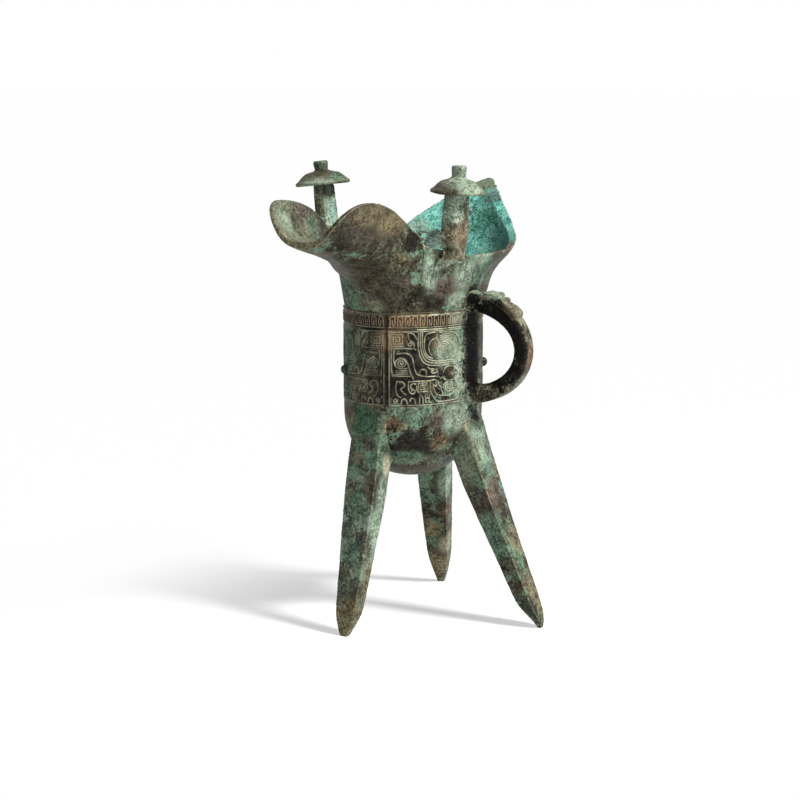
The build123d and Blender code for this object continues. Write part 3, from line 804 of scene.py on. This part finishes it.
def strap_form(spot, normal):
    """The strap is a little fuller across its outer face than the plain loop, and cast on to the wall."""
    fuller = Vector(((spot.x - strap_middle) * strap_share, min(normal.y, 0) * strap_out, 0))
    return cast_on(spot, normal) + fuller * ramp(-spot.y, strap_from, strap_rise)


handle = cast_skin("handle", strap_form, voxel=0.42, rounds=4, lumps=0.12, grain=0.04)
handle.data.materials.append(patina("handle_patina", "umber", "grey green", 0.36, stains_near("handle")))

# Ox head: a small bronze head with a muzzle, eyes and curled horns, worn blunt. It sits on top of the strap,
# let a little into it and cast on.
stains += [
    ("gold brown", 0.5, (10, -41, 141), (6, 5, 5)),
    ("pale green", 0.35, (8, -30, 148), (6, 5, 3)),
]
# By what share of the width the cheeks are fuller
cheek_share = 0.22


def head_form(spot, normal):
    """The head's cheeks stand a little proud of the strap's flanks."""
    return Vector(((spot.x - strap_middle) * cheek_share, 0, 0))


ox_head = cast_skin("ox_head", head_form, voxel=0.22, rounds=2, lumps=0.08, grain=0.03)
ox_head.data.materials.append(patina("head_patina", "umber", "grey green", 0.5, stains_near("ox_head")))

# Posts: two flat bronze bars that stand on the rim where the spout begins. Each forks over the rim, with a
# tongue cast on to either side of the wall, and carries a peg for its cap.
stains += [
    ("pale green", 0.85, (-16, -24, 184), (5, 5, 7)),
    ("plum", 0.6, (-8, -26, 184), (3, 3, 6)),
    ("umber", 0.55, (-13, -25, 174), (6, 6, 6)),
    ("rust", 0.5, (-12, -25, 173), (8, 6, 9)),
    ("grey green", 0.75, (-17, -23, 169), (5, 5, 4)),
    ("grey green", 0.85, (-16, 42, 188), (5, 6, 7)),
    ("pale green", 0.8, (-11, 40, 188), (4, 4, 10)),
    ("turquoise", 0.35, (-10, 41, 183), (3, 4, 5)),
    ("umber", 0.75, (-14, 45, 186), (4, 2.5, 8)),
]
vessel_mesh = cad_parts["vessel_body"].data
vessel_wall = BVHTree.FromPolygons(
    [vert.co for vert in vessel_mesh.vertices], [face.vertices for face in vessel_mesh.polygons]
)
# The rim's height, how far over it a post's foot begins, and over what height the foot thins out
rim_height, foot_rise, foot_fall = 165.3, 5, 8
# How far the foot's tongues spread along the wall, reach down it and sink into it
foot_spread, foot_drop, foot_sink = 3, 4, 0.15
# Over what heights above its foot a bar grows fuller and is lifted
fuller_rise, lift_rise = 5, 20


def post_form(node, lift, share):
    """One post's form: the bar lifted and fuller by a share, its tongues spread on the wall and thinned."""
    foot_top = rim_height + foot_rise
    shaft = [vert.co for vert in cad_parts[node].data.vertices if vert.co.z * 1000 > foot_top]
    middle = sum(shaft, Vector()) / len(shaft) * 1000

    def shape(spot, normal):
        low = ramp(spot.z, foot_top, -foot_fall)
        if low == 0:
            above = spot.z - rim_height - foot_rise
            fuller = (spot - middle) * share * min(above / fuller_rise, 1)
            return Vector((fuller.x, fuller.y, lift * min(above / lift_rise, 1)))
        gap = vessel_wall.find_nearest(spot / 1000)[3] * 1000
        spread = spot + Vector((normal.x * foot_spread * low**2, 0, -foot_drop * low**3))
        wall_spot, wall_normal, _, _ = vessel_wall.find_nearest(spread / 1000)
        seated = wall_spot * 1000 + wall_normal * (gap * (1 - low**1.5) - foot_sink * low)
        return (seated - spot) * min(2 * low, 1)

    return shape


# The far post stands a little taller than the plain bar, in millimetres, and the near one is a fifth fuller
far_lift, near_share = 1.9, 0.2
for node, lift, share in (("post_handle_side", 0.0, near_share), ("post_far_side", far_lift, 0.0)):
    post = cast_skin(node, post_form(node, lift, share), voxel=0.42, rounds=4, lumps=0.14, grain=0.04)
    post.data.materials.append(patina(node + "_patina", "grey green", "pale green", 0.45, stains_near(node)))

# Caps: bronze mushroom shapes with a flat knob and a faint whorl, crusted grey and green. Each has a socket
# that sits over its post's peg, so the far cap is lifted with its post.
stains += [
    ("pale green", 0.7, (-15, -25, 200), (9, 9, 5)),
    ("plum", 0.4, (-20, -19, 197), (5, 5, 3)),
    ("pale green", 0.85, (-16, -32, 195), (7, 5, 3)),
    ("pale green", 0.6, (-13, -25, 204), (5, 5, 3)),
    ("umber", 0.8, (-14, 44, 201), (8, 7, 3)),
    ("green", 0.75, (-12, 36, 198), (6, 5, 3)),
    ("pale green", 0.8, (-20, 41, 195.5), (6, 9, 2.5)),
    ("green", 0.7, (-14, 45, 205), (4, 4, 2.5)),
]
# The whorl's arms and their twist, their depth, and the ring that they lie in, in millimetres
whorl_arms, whorl_twist, whorl_depth = 5, 0.6, 0.35
whorl_ring, whorl_half = 7.5, 4.5
# The lift fades from a cap's foot over this height, down to a share of it at the knob
lift_fade, knob_share = 7, 0.35


def cap_form(node, lift):
    """One cap's form: curved grooves that turn round the knob, nearly worn away, and the lift of its post."""
    low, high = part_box(node)
    middle = (low + high) * 500

    def shape(spot, normal):
        across = spot - middle
        ring = math.hypot(across.x, across.y)
        wave = max(math.cos(whorl_arms * math.atan2(across.y, across.x) + whorl_twist * ring), 0) ** 8
        on_ring = ramp(abs(ring - whorl_ring), whorl_half, -1)
        groove = -normal * whorl_depth * wave * on_ring * max(normal.z, 0)
        return groove + Vector((0, 0, lift * min(max(1 - across.z / lift_fade, knob_share), 1)))

    return shape


for node, lift in (("cap_handle_side", 0.0), ("cap_far_side", far_lift)):
    cap = cast_skin(node, cap_form(node, lift), voxel=0.4, rounds=3, lumps=0.14, grain=0.04)
    cap.data.materials.append(patina(node + "_patina", "grey green", "umber", 0.5, stains_near(node)))

# Studio: a plain white floor that keeps the vessel's soft shadow, in white air that the bronze shows too. A
# lamp to the right and above lights it, with a weak fill from the left.

# The photo's viewing angle: round the vessel and down on it, in radians
photo_turn, photo_tilt = -1.0733, 0.1558
shift = Vector((cup_axis.x, cup_axis.y, 0))
back = Vector((math.sin(photo_turn), -math.cos(photo_turn), 0))
right = Vector((math.cos(photo_turn), math.sin(photo_turn), 0))
ahead = -back * math.cos(photo_tilt) - Vector((0, 0, math.sin(photo_tilt)))

floor_half = 12.0
bm = bmesh.new()
bmesh.ops.create_grid(bm, x_segments=2, y_segments=2, size=floor_half)
mesh = bpy.data.meshes.new("floor")
bm.to_mesh(mesh)
bm.free()
floor = bpy.data.objects.new("floor", mesh)
bpy.context.scene.collection.objects.link(floor)
white = bpy.data.materials.new("studio_white")
white.use_nodes = True
white.node_tree.nodes.clear()
shade = Shade(white.node_tree)
place = shade.make("TexCoord", {}, {}, "Object")
away = shade.make("VectorMath", {"operation": "DISTANCE"}, {0: place, 1: tuple(shift)}, "Value")
seen = shade.make("LightPath", {}, {}, "Is Camera Ray")
paper = shade.make("BsdfDiffuse", {}, {"Color": (0.9, 0.9, 0.9, 1)})
glow = shade.make("Emission", {}, {"Color": (1, 1, 1, 1), "Strength": 1.0})
# How white the camera sees the floor by the vessel, how much more away from it, and between which distances
near_white, far_white, shadow_near, shadow_far = 0.48, 0.51, 0.04, 0.18
bright = seen * (near_white + away.step(shadow_near, shadow_far) * far_white)
shade.make("OutputMaterial", {}, {"Surface": shade.make("MixShader", {}, {0: bright, 1: paper, 2: glow})})
floor.data.materials.append(white)

world = bpy.data.worlds.new("studio_air")
bpy.context.scene.world = world
world.use_nodes = True
world.node_tree.nodes.clear()
air_light = 0.15
shade = Shade(world.node_tree)
camera_ray = shade.make("LightPath", {}, {}, "Is Camera Ray")
glossy_ray = shade.make("LightPath", {}, {}, "Is Glossy Ray")
seen = shade.math("MAXIMUM", camera_ray, glossy_ray)
air = shade.make("Background", {}, {"Color": (1, 1, 1, 1), "Strength": air_light + seen * (1 - air_light)})
shade.make("OutputWorld", {}, {"Surface": air})

lamp_aim = shift + Vector((0, 0, 0.11))
for name, offset, size, power in (
    ("key_lamp", back * 0.5 + right * 0.8 + Vector((0, 0, 1.05)), 0.26, 36),
    ("fill_lamp", back * 0.9 - right * 0.7 + Vector((0, 0, 0.7)), 0.8, 3.8),
):
    lamp = bpy.data.lights.new(name, "AREA")
    lamp.shape = "SQUARE"
    lamp.size = size
    lamp.energy = power
    holder = bpy.data.objects.new(name, lamp)
    bpy.context.scene.collection.objects.link(holder)
    holder.location = shift + offset
    holder.rotation_mode = "QUATERNION"
    holder.rotation_quaternion = (lamp_aim - holder.location).to_track_quat("-Z", "Y")

# The lens by its focal length in the photo's pixels, and the camera's place off the cup's axis, in metres
focal_pixels, frame_pixels, sensor = 2208.2, 800, 36.0
camera_back, camera_left, camera_height = 0.98696, 0.00614, 0.25271
lens = bpy.data.cameras.new("photo_camera")
lens.sensor_width = sensor
lens.lens = focal_pixels / frame_pixels * sensor
lens.clip_start = 0.05
lens.clip_end = 60
camera = bpy.data.objects.new("photo_camera", lens)
bpy.context.scene.collection.objects.link(camera)
above = right.cross(ahead)
standpoint = shift + back * camera_back - right * camera_left + Vector((0, 0, camera_height))
camera.matrix_world = Matrix.Translation(standpoint) @ Matrix((right, above, -ahead)).transposed().to_4x4()
bpy.context.scene.camera = camera
bpy.context.scene.view_settings.view_transform = "Standard"
